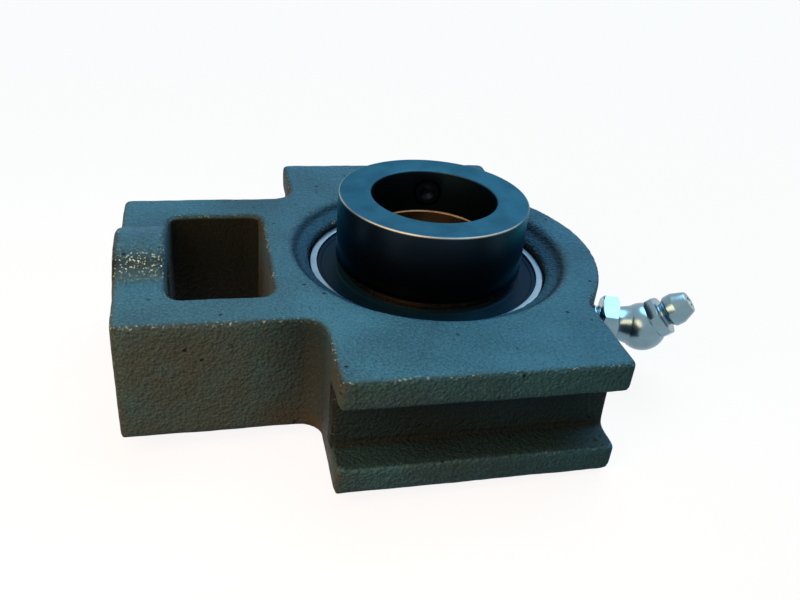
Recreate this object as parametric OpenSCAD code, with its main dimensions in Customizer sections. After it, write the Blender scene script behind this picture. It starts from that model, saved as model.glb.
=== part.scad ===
// Take-up bearing unit for a 25 mm shaft: a cast housing with guide grooves and a nut window,
// a self-aligning ball insert held by an eccentric locking collar, and an angled grease nipple.
// Millimetres. The origin is the centre of the insert, +Z runs along the shaft towards the collar,
// -X points to the take-up screw end and +X to the round end.

/* [Housing casting] */
// Insert centre to the outer face of the screw boss
screw_end = 61.5; // [60:0.5:70]
// Radius of the round end about the insert centre
round_r = 35; // [33:0.5:40]
// Thickness of the casting along the shaft
body_t = 24; // [22:0.5:30]
// Width across the lug that carries the nut window
lug_w = 51; // [46:0.5:58]
// Width over the guide flanges
flange_w = 89; // [84:0.5:98]
// Width between the bottoms of the two guide grooves
groove_w = 76; // [72:0.5:80]
// Opening of each guide groove
groove_h = 12; // [9:0.5:14]
// Length of the guided wings along the take-up direction
wing_len = 51; // [46:0.5:58]
// Nut window along the take-up direction
window_len = 19; // [14:0.5:20]
// Nut window across the lug
window_w = 34; // [26:0.5:38]
// Corner radius of the nut window
window_r = 3; // [1:0.5:6]
// Wall between the nut window and the lug end
end_wall = 9; // [7:0.5:11]
// Diameter of the boss round the take-up screw
boss_d = 32; // [28:0.5:36]
// Height of the screw boss above the lug end face
boss_rise = 0.5; // [0.25:0.25:3]
// Clearance hole for the take-up screw
screw_d = 16; // [10:0.5:20]
// Radius of the rounded outer corners
corner_r = 1.2; // [0.5:0.1:4]
// Radius of the fillets where the lug meets the wings
fillet_r = 4; // [2:0.5:6]

/* [Spherical seat] */
// Outside diameter of the insert
insert_od = 52; // [51:0.5:56]
// Radial clearance of the insert in its seat
seat_clr = 0.03; // [0.01:0.01:0.08]
// Radius of the recess mouth on either face
recess_r = 28.4; // [27.5:0.1:31]
// Radius at the foot of the recess wall
ledge_r = 27.1; // [26.4:0.1:28]
// Drop from the face to the foot of the recess wall
ledge_drop = 1.5; // [0.8:0.1:2]
// Drop from the face to the edge of the seat
lip_drop = 2.75; // [2.2:0.05:3.4]
// Radial depth of the grease groove in the seat
grease_depth = 1.2; // [0.6:0.1:2]
// Width of the grease groove
grease_w = 3; // [2:0.5:4]
// Side clearance of the ring in the loading slots
load_clr = 0.4; // [0.2:0.1:1]

/* [Rings and balls] */
// Bore of the inner ring
bore_d = 25; // [22:0.5:27]
// Width of the outer ring
outer_w = 16; // [15:0.5:17]
// Edge chamfer of the outer ring
outer_ch = 0.9; // [0.4:0.1:1.4]
// Inner ring from the centre to its back end
inner_back = 7.5; // [7:0.5:9]
// Inner ring from the centre to its cam end
inner_front = 14.4; // [13:0.2:15.6]
// Ball diameter
ball_d = 7.938; // [7:0.1:8.2]
// Diameter of the circle through the ball centres
pitch_d = 39; // [38:0.25:40]
// Radial clearance between a ball and its races
race_clr = 0.03; // [0.01:0.01:0.08]
// Depth of the races over the shoulders, as a part of the ball diameter
race_depth = 0.185; // [0.14:0.005:0.22]
// Least wall of the outer ring behind the ball track
outer_wall = 1.9; // [1.5:0.1:2.4]
// Diameter of the grease holes through the outer ring
feed_d = 1.6; // [1:0.1:2.4]
// Chamfer at the back end of the bore
bore_ch = 0.5; // [0.2:0.1:1]

/* [Cage] */
// Radial width of the cage ribbon
ribbon_w = 3; // [2:0.25:3.5]
// Thickness of the cage sheet
ribbon_t = 0.7; // [0.5:0.05:0.9]
// Clearance of a ball in its pocket
pocket_clr = 0.12; // [0.05:0.01:0.25]
// Rivet shank diameter
rivet_d = 1.4; // [1:0.1:1.8]
// Rivet head diameter
rivet_head_d = 2.4; // [2:0.1:2.8]
// Rivet head height
rivet_head_h = 0.5; // [0.3:0.05:0.8]

/* [Seals] */
// Width of the plain band left on the ring face outside the seal
face_band = 1.3; // [0.8:0.1:1.6]
// Depth of the seal below the ring face
seal_sink = 0.6; // [0.3:0.1:1]
// Thickness of the moulded rubber
rubber_t = 0.6; // [0.4:0.05:0.8]
// Thickness of the steel stiffener
core_t = 0.5; // [0.3:0.05:0.6]
// Running clearance of the sealing lip on the inner ring
lip_clr = 0.04; // [0.02:0.01:0.08]
// Radial width of the sealing lip inside the stiffener
lip_w = 1.2; // [0.8:0.1:1.6]
// Thickness of the lip edge
lip_t = 0.5; // [0.3:0.05:0.7]
// Reach of the lip below the stiffener
lip_hang = 0.3; // [0.1:0.05:0.4]
// Edge chamfer of the moulded face
seal_ch = 0.15; // [0.05:0.05:0.3]

/* [Locking collar] */
// Outside diameter of the collar
collar_d = 38.1; // [36.5:0.1:41]
// Length of the collar
collar_len = 14.3; // [12.5:0.1:14.8]
// Height of the collar top over the insert centre
collar_top = 23.5; // [23:0.25:26]
// Gap between the collar and the shoulder of the inner ring
collar_gap = 0.3; // [0.2:0.05:0.6]
// Offset of the cam and of the recess that rides on it
cam_offset = 0.8; // [0.5:0.05:1.1]
// Diameter of the cam on the inner ring
cam_d = 30.6; // [29.5:0.1:31]
// Running clearance of the collar on the cam
cam_clr = 0.05; // [0.02:0.01:0.1]
// Clearance of the collar bore over the inner ring bore
collar_clr = 0.1; // [0.05:0.05:0.3]
// Room between the cam end and the bottom of the collar recess
cam_room = 0.1; // [0.05:0.05:0.3]
// Edge chamfers of the collar
collar_ch = 0.45; // [0.2:0.05:0.8]
// Set screw thread diameter
set_d = 6; // [4:0.5:6]
// Hexagon socket across flats
set_key = 3; // [2:0.5:3]
// Depth of the hexagon socket
key_depth = 3; // [2:0.25:3.5]
// Length of the set screw point
set_point = 1; // [0.5:0.1:1.5]
// Depth of the cup in the set screw point
cup_depth = 0.6; // [0.3:0.1:0.8]
// Flat rim round the cup
cup_land = 0.4; // [0.2:0.1:0.6]
// Set screw point behind the bore of the collar
set_back = 0.2; // [0.1:0.05:0.5]
// Outer end of the set screw below the collar surface
set_sink = 0.25; // [0.1:0.05:0.6]
// Set screw axis below the middle of the free collar wall
set_drop = 0.5; // [0:0.1:0.8]
// Direction of the set screw about the shaft, degrees
set_az = 80; // [60:5:120]
// Direction of the drift hole about the shaft, degrees
drift_az = 150; // [130:5:170]
// Diameter of the drift hole
drift_d = 6; // [4:0.5:7]
// Depth of the drift hole
drift_depth = 3.5; // [2:0.5:4.5]

/* [Locating pin] */
// Pin diameter
pin_d = 2.5; // [1.6:0.1:3]
// Pin stand-out from the outer ring
pin_out = 1.6; // [1:0.1:2]
// Tilt that the pin slot leaves free, degrees
tilt_free = 2.6; // [2.4:0.1:4]
// Wall left under the pin hole
pin_floor = 0.8; // [0.5:0.1:1.2]
// Clearance beyond the end of the pin
pin_end_clr = 0.3; // [0.1:0.1:0.6]
// Clearance over the pin at full tilt
slot_clr = 0.1; // [0.05:0.05:0.3]

/* [Grease nipple] */
// Direction of the nipple in plan, degrees
nip_az = -20; // [-24:1:-10]
// Bend between the thread and the head, degrees
nip_bend = 45; // [30:5:65]
// Roll of the head about the thread, degrees
nip_roll = 95; // [60:5:130]
// Thread diameter
nip_thread_d = 6.4; // [5:0.2:8]
// Thread length inside the casting
nip_grip = 5.5; // [4:0.5:6.5]
// Bare thread between the casting and the hexagon
nip_stub = 2.4; // [2:0.1:6]
// First hexagon across flats
nip_hex = 10; // [8:0.5:11]
// First hexagon thickness
nip_hex_t = 3.2; // [2.5:0.1:5]
// Turn of the first hexagon about the thread, degrees
hex_turn = 51; // [0:1:59]
// Round elbow diameter
elbow_d = 10; // [9:0.25:12]
// Length of the neck between the first hexagon and the round elbow
neck_len = 0.7; // [0.2:0.1:2]
// Diameter of the neck at the hexagon
neck_d = 6.8; // [5:0.2:8]
// Widening of the neck towards the middle of the elbow
neck_flare = 2.4; // [0:0.2:2.6]
// Grease duct diameter
duct_d = 2.6; // [2:0.1:3]
// Elbow centre to the seat of the head
head_d0 = 3; // [2.6:0.1:4]
// Spigot that holds the head in the elbow
spigot_d = 4.2; // [3.6:0.1:5]
// Spigot end from the elbow centre
spigot_floor = 0.4; // [0.2:0.1:1]
// Head hexagon across flats
head_hex = 8; // [7:0.5:9]
// Head hexagon thickness
head_hex_t = 2.2; // [1.6:0.1:3.2]
// Turn of the head hexagon, degrees
head_turn = 51; // [0:1:59]
// Largest diameter of the head
head_d = 6.6; // [6:0.1:7]
// Height of the head over its hexagon
head_h = 5.8; // [5:0.2:8]
// Diameter of the groove under the head
head_neck_d = 4.75; // [4.2:0.05:5.4]
// Straight height of the groove under the head
head_neck_h = 0.5; // [0.3:0.1:1.4]
// Height of the widening over the groove
head_flare_h = 0.9; // [0.5:0.1:1.8]
// Height of the widest band of the head
head_band_h = 1.7; // [0.6:0.1:2.2]
// Diameter of the flat tip
head_tip_d = 4.4; // [3.6:0.1:5]
// Hole through the root of the head
root_d = 1.6; // [1.2:0.1:2]
// Check ball diameter
valve_d = 2.4; // [1.8:0.1:2.8]
// Radial clearance of the check ball in its bore
valve_clr = 0.1; // [0.05:0.05:0.2]
// Overlap of the mouth that holds the check ball
valve_lip = 0.24; // [0.15:0.03:0.4]
// Length of the mouth over the check ball
valve_land = 0.5; // [0.3:0.1:0.8]
// Wire thickness of the check spring
wire_t = 0.3; // [0.2:0.05:0.4]
// Radial clearance of the check spring in its bore
spring_clr = 0.12; // [0.05:0.01:0.2]
// Elbow seat to the foot of the check spring
spring_floor = 1.6; // [1:0.1:2]
// Turns of the check spring
spring_turns = 4; // [3:1:6]

/* [Hidden] */
$fn = 96;
eps = 0.01;
fit = 0.02;
over = 1;
mouth_step = 1;
ball_count = 9;
half_t = body_t / 2;
lug_end = screw_end - boss_rise;
window_x0 = -lug_end + end_wall;
ball_r = ball_d / 2;
pitch_r = pitch_d / 2;
groove_r = ball_r + race_clr;
ring_r = max(insert_od / 2, pitch_r + groove_r + outer_wall);
seat_r = ring_r + seat_clr;
lip_r = sqrt(pow(seat_r, 2) - pow(half_t - lip_drop, 2));
foot_r = max(ledge_r, lip_r + mouth_step);
mouth_r = max(recess_r, foot_r + mouth_step);
ring_h = outer_w / 2;
face_r = sqrt(pow(ring_r, 2) - pow(ring_h - outer_ch, 2)) - outer_ch;
face_slope = ring_r - face_r + over;
inner_sh_r = pitch_r - ball_r + race_depth * ball_d;
outer_sh_r = pitch_r + ball_r - race_depth * ball_d;
ball_step = 360 / ball_count;
pocket_r = ball_r + pocket_clr;
pocket_out_r = pocket_r + ribbon_t;
ribbon_r0 = pitch_r - ribbon_w / 2;
ribbon_r1 = pitch_r + ribbon_w / 2;
seal_r = face_r - face_band;
seal_z1 = ring_h - seal_sink;
seal_z0 = seal_z1 - rubber_t;
core_z0 = seal_z0 - core_t;
core_r0 = inner_sh_r + lip_w;
lip_r0 = inner_sh_r + lip_clr;
bore_r = bore_d / 2;
collar_r = collar_d / 2;
collar_bore_r = bore_r + collar_clr;
collar_foot = max(collar_top - collar_len, ring_h + collar_gap);
collar_end = collar_foot + collar_len;
shoulder_front = collar_foot - collar_gap;
cam_r = cam_d / 2;
cam_az = set_az + 180;
set_z = (inner_front + collar_end) / 2 - set_drop;
set_in = collar_bore_r + set_back;
set_len = collar_r - set_sink - set_in;
cup_r = set_d / 2 - set_point - cup_land;
pin_r1 = ring_r + pin_out;
pin_r0 = pitch_r + ball_r + pin_floor;
pin_slot_z = pin_d / 2 + pin_r1 * sin(tilt_free) + slot_clr;
hex_r0 = round_r + nip_stub;
hex_r1 = hex_r0 + nip_hex_t;
elbow_c = hex_r1 + neck_len + elbow_d / 2;
nip_r0 = round_r - nip_grip;
head_d1 = head_d0 + head_hex_t;
head_d2 = head_d1 + head_h;
neck_z = head_d1 + head_neck_h;
band_z = neck_z + head_flare_h;
valve_r = valve_d / 2;
valve_bore_r = valve_r + valve_clr;
valve_mouth_r = valve_r - valve_lip;
valve_c = head_d2 - valve_land - sqrt(pow(valve_r, 2) - pow(valve_mouth_r, 2)) - fit;
wire_r1 = valve_bore_r - spring_clr;
wire_r0 = wire_r1 - wire_t;
wire_arc = 50;
wire_step = 25;
turn_steps = 18;
spring_z0 = head_d0 + spring_floor;
spring_z1 = valve_c - sqrt(pow(valve_r, 2) - pow(wire_r0, 2)) - fit;

// Shared shapes

// A flat rectangle with rounded corners between two opposite points
module soft_rect(a, b, r) {
    translate([a[0] + r, a[1]])
        square([b[0] - a[0] - 2 * r, b[1] - a[1]]);
    translate([a[0], a[1] + r])
        square([b[0] - a[0], b[1] - a[1] - 2 * r]);
    for (x = [a[0] + r, b[0] - r], y = [a[1] + r, b[1] - r])
        translate([x, y])
            circle(r = r);
}

// A plain tube between two heights
module tube(r0, r1, z0, z1) {
    rotate_extrude()
        translate([r0, z0])
            square([r1 - r0, z1 - z0]);
}

// The ball track shared by both rings
module race_track() {
    rotate_extrude()
        translate([pitch_r, 0])
            circle(r = groove_r);
}

// Places its children at every ball centre
module at_balls() {
    for (k = [0 : ball_count - 1])
        rotate([0, 0, k * ball_step])
            translate([pitch_r, 0, 0])
                children();
}

// Turns +Z to the direction of the nipple thread
module along_thread() {
    rotate([0, 0, nip_az])
        rotate([0, 90, 0])
            children();
}

// Turns +Z to the direction of the nipple head, from the elbow centre
module along_head() {
    rotate([0, 0, nip_az])
        translate([elbow_c, 0, 0])
            rotate([nip_roll - 90, 0, 0])
                rotate([0, 90 - nip_bend, 0])
                    children();
}

// A hexagonal bar by its width across flats
module hex_bar(flats, h) {
    cylinder(h = h, r = flats / sqrt(3), $fn = 6);
}

// Housing

module housing_plan() {
    soft_rect([-lug_end, -lug_w / 2], [0, lug_w / 2], corner_r);
    soft_rect([-wing_len / 2, -flange_w / 2], [wing_len / 2, flange_w / 2], corner_r);
    circle(r = round_r);
    for (s = [-1, 1])
        translate([-wing_len / 2, s * lug_w / 2])
            difference() {
                translate([-fillet_r, s > 0 ? -eps : -fillet_r])
                    square([fillet_r + eps, fillet_r + eps]);
                translate([-fillet_r, s * fillet_r])
                    circle(r = fillet_r);
            }
}

// One recess from the seat edge out to the face, drawn for the upper side
module recess() {
    rotate_extrude()
        polygon([
            [0, 0],
            [lip_r - over, 0],
            [lip_r, half_t - lip_drop],
            [foot_r, half_t - ledge_drop],
            [mouth_r, half_t],
            [mouth_r, half_t + over],
            [0, half_t + over]
        ]);
}

module housing() {
    color([0.16, 0.25, 0.26])
        difference() {
            union() {
                linear_extrude(height = body_t, center = true)
                    housing_plan();
                translate([-screw_end, 0, 0])
                    rotate([0, 90, 0])
                        cylinder(h = boss_rise + end_wall, d = boss_d);
            }
            translate([0, 0, -boss_d])
                linear_extrude(height = 2 * boss_d)
                    soft_rect([window_x0, -window_w / 2], [window_x0 + window_len, window_w / 2], window_r);
            translate([-screw_end - over, 0, 0])
                rotate([0, 90, 0])
                    cylinder(h = end_wall + boss_rise + 2 * over, d = screw_d);
            for (s = [-1, 1])
                translate([-wing_len, s > 0 ? groove_w / 2 : -groove_w / 2 - flange_w, -groove_h / 2])
                    cube([2 * wing_len, flange_w, groove_h]);
            sphere(r = seat_r);
            recess();
            mirror([0, 0, 1])
                recess();
            rotate_extrude()
                translate([seat_r - over, -grease_w / 2])
                    square([grease_depth + over, grease_w]);
            intersection() {
                translate([0, 0, -half_t - over])
                    cylinder(h = half_t + over, r = seat_r + fit);
                cube([outer_w + 2 * load_clr, 4 * seat_r, 4 * half_t], center = true);
            }
            translate([-pin_r1 - pin_end_clr, -pin_d / 2 - fit, -half_t - over])
                cube([pin_r1 + pin_end_clr - lip_r + over, pin_d + 2 * fit, half_t + over + pin_slot_z]);
            along_thread()
                translate([0, 0, nip_r0])
                    cylinder(h = nip_grip + 2 * over, d = nip_thread_d + 2 * fit);
            along_thread()
                translate([0, 0, seat_r - over])
                    cylinder(h = nip_r0 - seat_r + 2 * over, d = duct_d);
        }
}

// Insert

module locating_pin() {
    color([0.62, 0.63, 0.65])
        rotate([0, -90, 0])
            translate([0, 0, pin_r0])
                cylinder(h = pin_r1 - pin_r0, d = pin_d);
}

module outer_ring() {
    color([0.78, 0.80, 0.83])
        difference() {
            intersection() {
                sphere(r = ring_r);
                rotate_extrude()
                    polygon([
                        [outer_sh_r, -ring_h],
                        [face_r, -ring_h],
                        [face_r + face_slope, -ring_h + face_slope],
                        [face_r + face_slope, ring_h - face_slope],
                        [face_r, ring_h],
                        [outer_sh_r, ring_h]
                    ]);
            }
            race_track();
            for (s = [0, 1])
                mirror([0, 0, s])
                    translate([0, 0, core_z0])
                        cylinder(h = ring_h, r = seal_r);
            rotate([0, -90, 0])
                translate([0, 0, pin_r0])
                    cylinder(h = ring_r - pin_r0 + over, d = pin_d + 2 * fit);
            for (a = [nip_az, nip_az + 180])
                rotate([0, 0, a])
                    rotate([0, 90, 0])
                        translate([0, 0, outer_sh_r - over])
                            cylinder(h = ring_r - outer_sh_r + 2 * over, d = feed_d);
        }
}

module inner_ring() {
    color([0.74, 0.75, 0.77])
        difference() {
            union() {
                translate([0, 0, -inner_back])
                    cylinder(h = inner_back + shoulder_front, r = inner_sh_r);
                rotate([0, 0, cam_az])
                    translate([cam_offset, 0, shoulder_front - over])
                        cylinder(h = inner_front - shoulder_front + over, r = cam_r);
            }
            race_track();
            translate([0, 0, -inner_back - over])
                cylinder(h = inner_back + inner_front + 2 * over, r = bore_r);
            translate([0, 0, -inner_back - eps])
                cylinder(h = bore_ch, r1 = bore_r + bore_ch, r2 = bore_r);
        }
}

module ball(k) {
    color([0.86, 0.87, 0.89])
        rotate([0, 0, (k - 1) * ball_step])
            translate([pitch_r, 0, 0])
                sphere(r = ball_r);
}

// One pressed half of the ball cage, drawn for the upper side
module cage_half() {
    difference() {
        intersection() {
            tube(ribbon_r0, ribbon_r1, 0, pocket_out_r + over);
            union() {
                tube(ribbon_r0 - over, ribbon_r1 + over, -over, ribbon_t);
                at_balls()
                    sphere(r = pocket_out_r);
            }
        }
        at_balls()
            sphere(r = pocket_r);
        rotate([0, 0, ball_step / 2])
            at_balls()
                translate([0, 0, -over])
                    cylinder(h = ribbon_t + 2 * over, d = rivet_d + 2 * fit);
    }
}

module cage_top() {
    color([0.70, 0.70, 0.70])
        cage_half();
}

module cage_bottom() {
    color([0.70, 0.70, 0.70])
        mirror([0, 0, 1])
            cage_half();
}

module cage_rivets() {
    color([0.80, 0.78, 0.74])
        rotate([0, 0, ball_step / 2])
            at_balls() {
                translate([0, 0, -ribbon_t - rivet_head_h])
                    cylinder(h = 2 * (ribbon_t + rivet_head_h), d = rivet_d);
                translate([0, 0, ribbon_t])
                    cylinder(h = rivet_head_h, d = rivet_head_d);
                translate([0, 0, -ribbon_t - rivet_head_h])
                    cylinder(h = rivet_head_h, d = rivet_head_d);
            }
}

// The steel stiffener of one seal, drawn for the upper side
module seal_core() {
    tube(core_r0, seal_r - fit, core_z0, seal_z0);
}

// The moulded face and lip of one seal, drawn for the upper side
module seal_rubber() {
    rotate_extrude()
        polygon([
            [lip_r0, core_z0 - lip_hang],
            [lip_r0 + lip_t, core_z0 - lip_hang],
            [core_r0 - fit, core_z0 + core_t / 2],
            [core_r0 - fit, seal_z0],
            [seal_r - fit, seal_z0],
            [seal_r - fit, seal_z1 - seal_ch],
            [seal_r - fit - seal_ch, seal_z1],
            [core_r0 - fit, seal_z1],
            [lip_r0, seal_z1 - seal_ch]
        ]);
}

module seal_core_top() {
    color([0.55, 0.56, 0.58])
        seal_core();
}

module seal_rubber_top() {
    color([0.06, 0.07, 0.09])
        seal_rubber();
}

module seal_core_bottom() {
    color([0.55, 0.56, 0.58])
        mirror([0, 0, 1])
            seal_core();
}

module seal_rubber_bottom() {
    color([0.06, 0.07, 0.09])
        mirror([0, 0, 1])
            seal_rubber();
}

// Locking collar

module locking_collar() {
    color([0.08, 0.09, 0.10])
        difference() {
            rotate_extrude()
                polygon([
                    [collar_bore_r, collar_foot],
                    [collar_r - collar_ch, collar_foot],
                    [collar_r, collar_foot + collar_ch],
                    [collar_r, collar_end - collar_ch],
                    [collar_r - collar_ch, collar_end],
                    [collar_bore_r + collar_ch, collar_end],
                    [collar_bore_r, collar_end - collar_ch]
                ]);
            rotate([0, 0, cam_az])
                translate([cam_offset, 0, collar_foot - over])
                    cylinder(h = inner_front + cam_room - collar_foot + over, r = cam_r + cam_clr);
            rotate([0, 0, set_az])
                translate([0, 0, set_z])
                    rotate([0, 90, 0])
                        translate([0, 0, bore_r - over])
                            cylinder(h = collar_r - bore_r + 2 * over, d = set_d + 2 * fit);
            rotate([0, 0, drift_az])
                translate([0, 0, set_z])
                    rotate([0, 90, 0])
                        translate([0, 0, collar_r - drift_depth])
                            cylinder(h = drift_depth + over, d = drift_d);
        }
}

module collar_set_screw() {
    color([0.12, 0.12, 0.13])
        rotate([0, 0, set_az])
            translate([0, 0, set_z])
                rotate([0, 90, 0])
                    difference() {
                        union() {
                            translate([0, 0, set_in])
                                cylinder(h = set_point, r1 = set_d / 2 - set_point, r2 = set_d / 2);
                            translate([0, 0, set_in + set_point])
                                cylinder(h = set_len - set_point, d = set_d);
                        }
                        translate([0, 0, set_in - eps])
                            cylinder(h = cup_depth, r1 = cup_r, r2 = cup_r - cup_depth);
                        translate([0, 0, set_in + set_len - key_depth])
                            hex_bar(set_key, key_depth + over);
                    }
}

// Grease nipple

module nipple_elbow() {
    color([0.72, 0.75, 0.76])
        difference() {
            union() {
                along_thread() {
                    translate([0, 0, nip_r0])
                        cylinder(h = hex_r0 - nip_r0, d = nip_thread_d);
                    translate([0, 0, hex_r0])
                        rotate([0, 0, hex_turn])
                            hex_bar(nip_hex, nip_hex_t);
                    translate([0, 0, hex_r1 - eps])
                        cylinder(h = elbow_c - hex_r1, d1 = neck_d, d2 = neck_d + neck_flare);
                    translate([0, 0, elbow_c])
                        sphere(d = elbow_d);
                }
            }
            along_head()
                translate([0, 0, head_d0])
                    cylinder(h = elbow_d, d = 2 * elbow_d);
            along_thread()
                translate([0, 0, nip_r0 - over])
                    cylinder(h = elbow_c - nip_r0 + over, d = duct_d);
            along_head()
                cylinder(h = elbow_d, d = spigot_d);
        }
}

module nipple_head() {
    color([0.76, 0.78, 0.80])
        along_head()
            difference() {
                union() {
                    translate([0, 0, spigot_floor])
                        cylinder(h = head_d0 - spigot_floor, d = spigot_d - 2 * fit);
                    translate([0, 0, head_d0])
                        rotate([0, 0, head_turn])
                            hex_bar(head_hex, head_hex_t);
                    rotate_extrude()
                        polygon([
                            [0, head_d1 - eps],
                            [head_neck_d / 2, head_d1 - eps],
                            [head_neck_d / 2, neck_z],
                            [head_d / 2, band_z],
                            [head_d / 2, band_z + head_band_h],
                            [head_tip_d / 2, head_d2],
                            [0, head_d2]
                        ]);
                }
                translate([0, 0, -over])
                    cylinder(h = spring_z0 + over, d = root_d);
                translate([0, 0, spring_z0])
                    cylinder(h = valve_c - spring_z0 + valve_lip, r = valve_bore_r);
                translate([0, 0, valve_c])
                    cylinder(h = head_d2 - valve_c + over, r = valve_mouth_r);
                translate([0, 0, valve_c])
                    sphere(r = valve_r + fit);
            }
}

module nipple_check_ball() {
    color([0.80, 0.82, 0.84])
        along_head()
            translate([0, 0, valve_c])
                sphere(r = valve_r);
}

module nipple_spring() {
    color([0.60, 0.62, 0.64])
        along_head()
            translate([0, 0, spring_z0])
                linear_extrude(
                    height = spring_z1 - spring_z0,
                    twist = -360 * spring_turns,
                    slices = turn_steps * spring_turns,
                    $fn = 12
                )
                    polygon(concat(
                        [for (a = [-wire_arc : wire_step : wire_arc])
                            wire_r1 * [cos(a), sin(a)]],
                        [for (a = [wire_arc : -wire_step : -wire_arc])
                            wire_r0 * [cos(a), sin(a)]]
                    ));
}

housing();
locating_pin();
outer_ring();
inner_ring();
for (k = [1 : ball_count])
    ball(k);
cage_top();
cage_bottom();
cage_rivets();
seal_core_top();
seal_rubber_top();
seal_core_bottom();
seal_rubber_bottom();
locking_collar();
collar_set_screw();
nipple_elbow();
nipple_head();
nipple_check_ball();
nipple_spring();
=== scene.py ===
"""Take-up bearing unit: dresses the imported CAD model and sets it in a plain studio.

Meshes are in metres in the frame of the CAD model, and sizes are written in millimetres. The origin is the
centre of the insert, +Z runs along the shaft towards the locking collar and -X points to the screw end.
"""

import logging
import math
from dataclasses import dataclass
from enum import Enum
from typing import Any, Sequence

import bmesh
import bpy
import numpy as np
from bpy.types import ID, Material, Mesh, Node, NodeSocket, NodeTree, Object, World
from mathutils import Matrix, Vector, noise


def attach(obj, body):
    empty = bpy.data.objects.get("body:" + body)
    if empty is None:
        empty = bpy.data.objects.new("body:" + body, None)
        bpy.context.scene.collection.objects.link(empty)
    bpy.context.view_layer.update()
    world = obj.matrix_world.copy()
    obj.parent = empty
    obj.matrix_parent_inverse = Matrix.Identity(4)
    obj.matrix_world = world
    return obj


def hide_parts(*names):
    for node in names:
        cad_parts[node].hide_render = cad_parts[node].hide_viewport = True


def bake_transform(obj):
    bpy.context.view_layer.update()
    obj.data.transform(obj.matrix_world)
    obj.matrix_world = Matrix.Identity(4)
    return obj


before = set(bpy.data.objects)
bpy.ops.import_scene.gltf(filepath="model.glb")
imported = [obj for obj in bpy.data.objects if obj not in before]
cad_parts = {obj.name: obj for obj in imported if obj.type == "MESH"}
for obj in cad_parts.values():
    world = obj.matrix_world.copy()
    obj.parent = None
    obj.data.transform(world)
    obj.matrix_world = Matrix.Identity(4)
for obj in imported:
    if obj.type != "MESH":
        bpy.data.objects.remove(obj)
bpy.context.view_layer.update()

LOG = logging.getLogger("take_up_unit")
MM = 0.001
# Points closer than this, in metres, are one point
WELD = 1e-7
# No length is divided by less than this, in millimetres
TINY = 1e-6
# How far a cutting or joining mesh goes past the surface that it meets, in millimetres
OVER = 1.0
WHITE = "#ffffff"

# Inputs of a Map Range node, in the order in which a finish lists their values
RAMP = ("Value", "From Min", "From Max", "To Min", "To Max")
# Radians that a wave texture runs through in one unit at a scale of 1
WAVE_RADIANS = 20.0

Array = np.ndarray
Outline = list[tuple[float, float]]
Corner = tuple[float, float, float]


class Cut(Enum):
    """How one mesh works on another."""

    TAKE_AWAY = "DIFFERENCE"
    JOIN = "UNION"
    KEEP_COMMON = "INTERSECT"


class Turned(Enum):
    """Direction in which a turned surface carries its tool lines."""

    ROUND_THE_AXIS = "BANDS"
    ON_THE_FACE = "RINGS"


# Colours and nodes


def linear(code: str) -> tuple[float, float, float, float]:
    """Turns an sRGB hex colour to linear light.

    Args:
        code: The colour as #rrggbb.

    Returns:
        Linear red, green and blue with an alpha of 1.
    """
    parts = (int(code[i : i + 2], 16) / 255 for i in (1, 3, 5))
    r, g, b = (p / 12.92 if p <= 0.04045 else ((p + 0.055) / 1.055) ** 2.4 for p in parts)
    return r, g, b, 1.0


def per_metre(size_mm: float) -> float:
    """Gives the texture scale at which one cell of a pattern is size_mm wide."""
    return 1 / (size_mm * MM)


def add_node(
    tree: NodeTree, kind: str, inputs: dict[str | int, Any] | None = None, **settings: Any
) -> Node:
    """Adds a node with its settings, values and links.

    Args:
        tree: The node tree to add to.
        kind: Blender's name of the node type.
        inputs: Value or linked socket for each input, by name or number.
        **settings: Properties of the node itself.

    Returns:
        The new node.
    """
    node = tree.nodes.new(kind)
    for name, value in settings.items():
        setattr(node, name, value)
    for key, value in (inputs or {}).items():
        if isinstance(value, NodeSocket):
            tree.links.new(value, node.inputs[key])
        else:
            node.inputs[key].default_value = value
    return node


def fresh_tree(owner: Material | World) -> NodeTree:
    """Gives the node tree of a material or a world, with no node in it."""
    owner.use_nodes = True
    owner.node_tree.nodes.clear()
    return owner.node_tree


def show(name: str, data: ID) -> Object:
    """Makes an object of a mesh, light or camera and puts it in the scene."""
    made = bpy.data.objects.new(name, data)
    bpy.context.scene.collection.objects.link(made)
    return made


# Finishes


@dataclass(frozen=True)
class Finish:
    """A finish with a name of its own and the record's slot that it belongs to."""

    name: str
    slot: str

    def material(self) -> Material:
        """Builds the material, or gives the one that was built before.

        Returns:
            The Blender material of this finish.
        """
        known = bpy.data.materials.get(self.name)
        if known:
            return known
        made = bpy.data.materials.new(self.name)
        tree = fresh_tree(made)
        where = add_node(tree, "ShaderNodeTexCoord").outputs["Object"]
        shader = add_node(tree, "ShaderNodeBsdfPrincipled", self.surface(tree, where))
        add_node(tree, "ShaderNodeOutputMaterial", {"Surface": shader.outputs["BSDF"]})
        return made

    def surface(self, tree: NodeTree, where: NodeSocket) -> dict[str, Any]:
        """Builds the pattern of the finish.

        Args:
            tree: The node tree of the material.
            where: Coordinates on the object, in metres.

        Returns:
            Value or linked socket for each input of the Principled shader that the finish sets.
        """
        raise NotImplementedError


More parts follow.
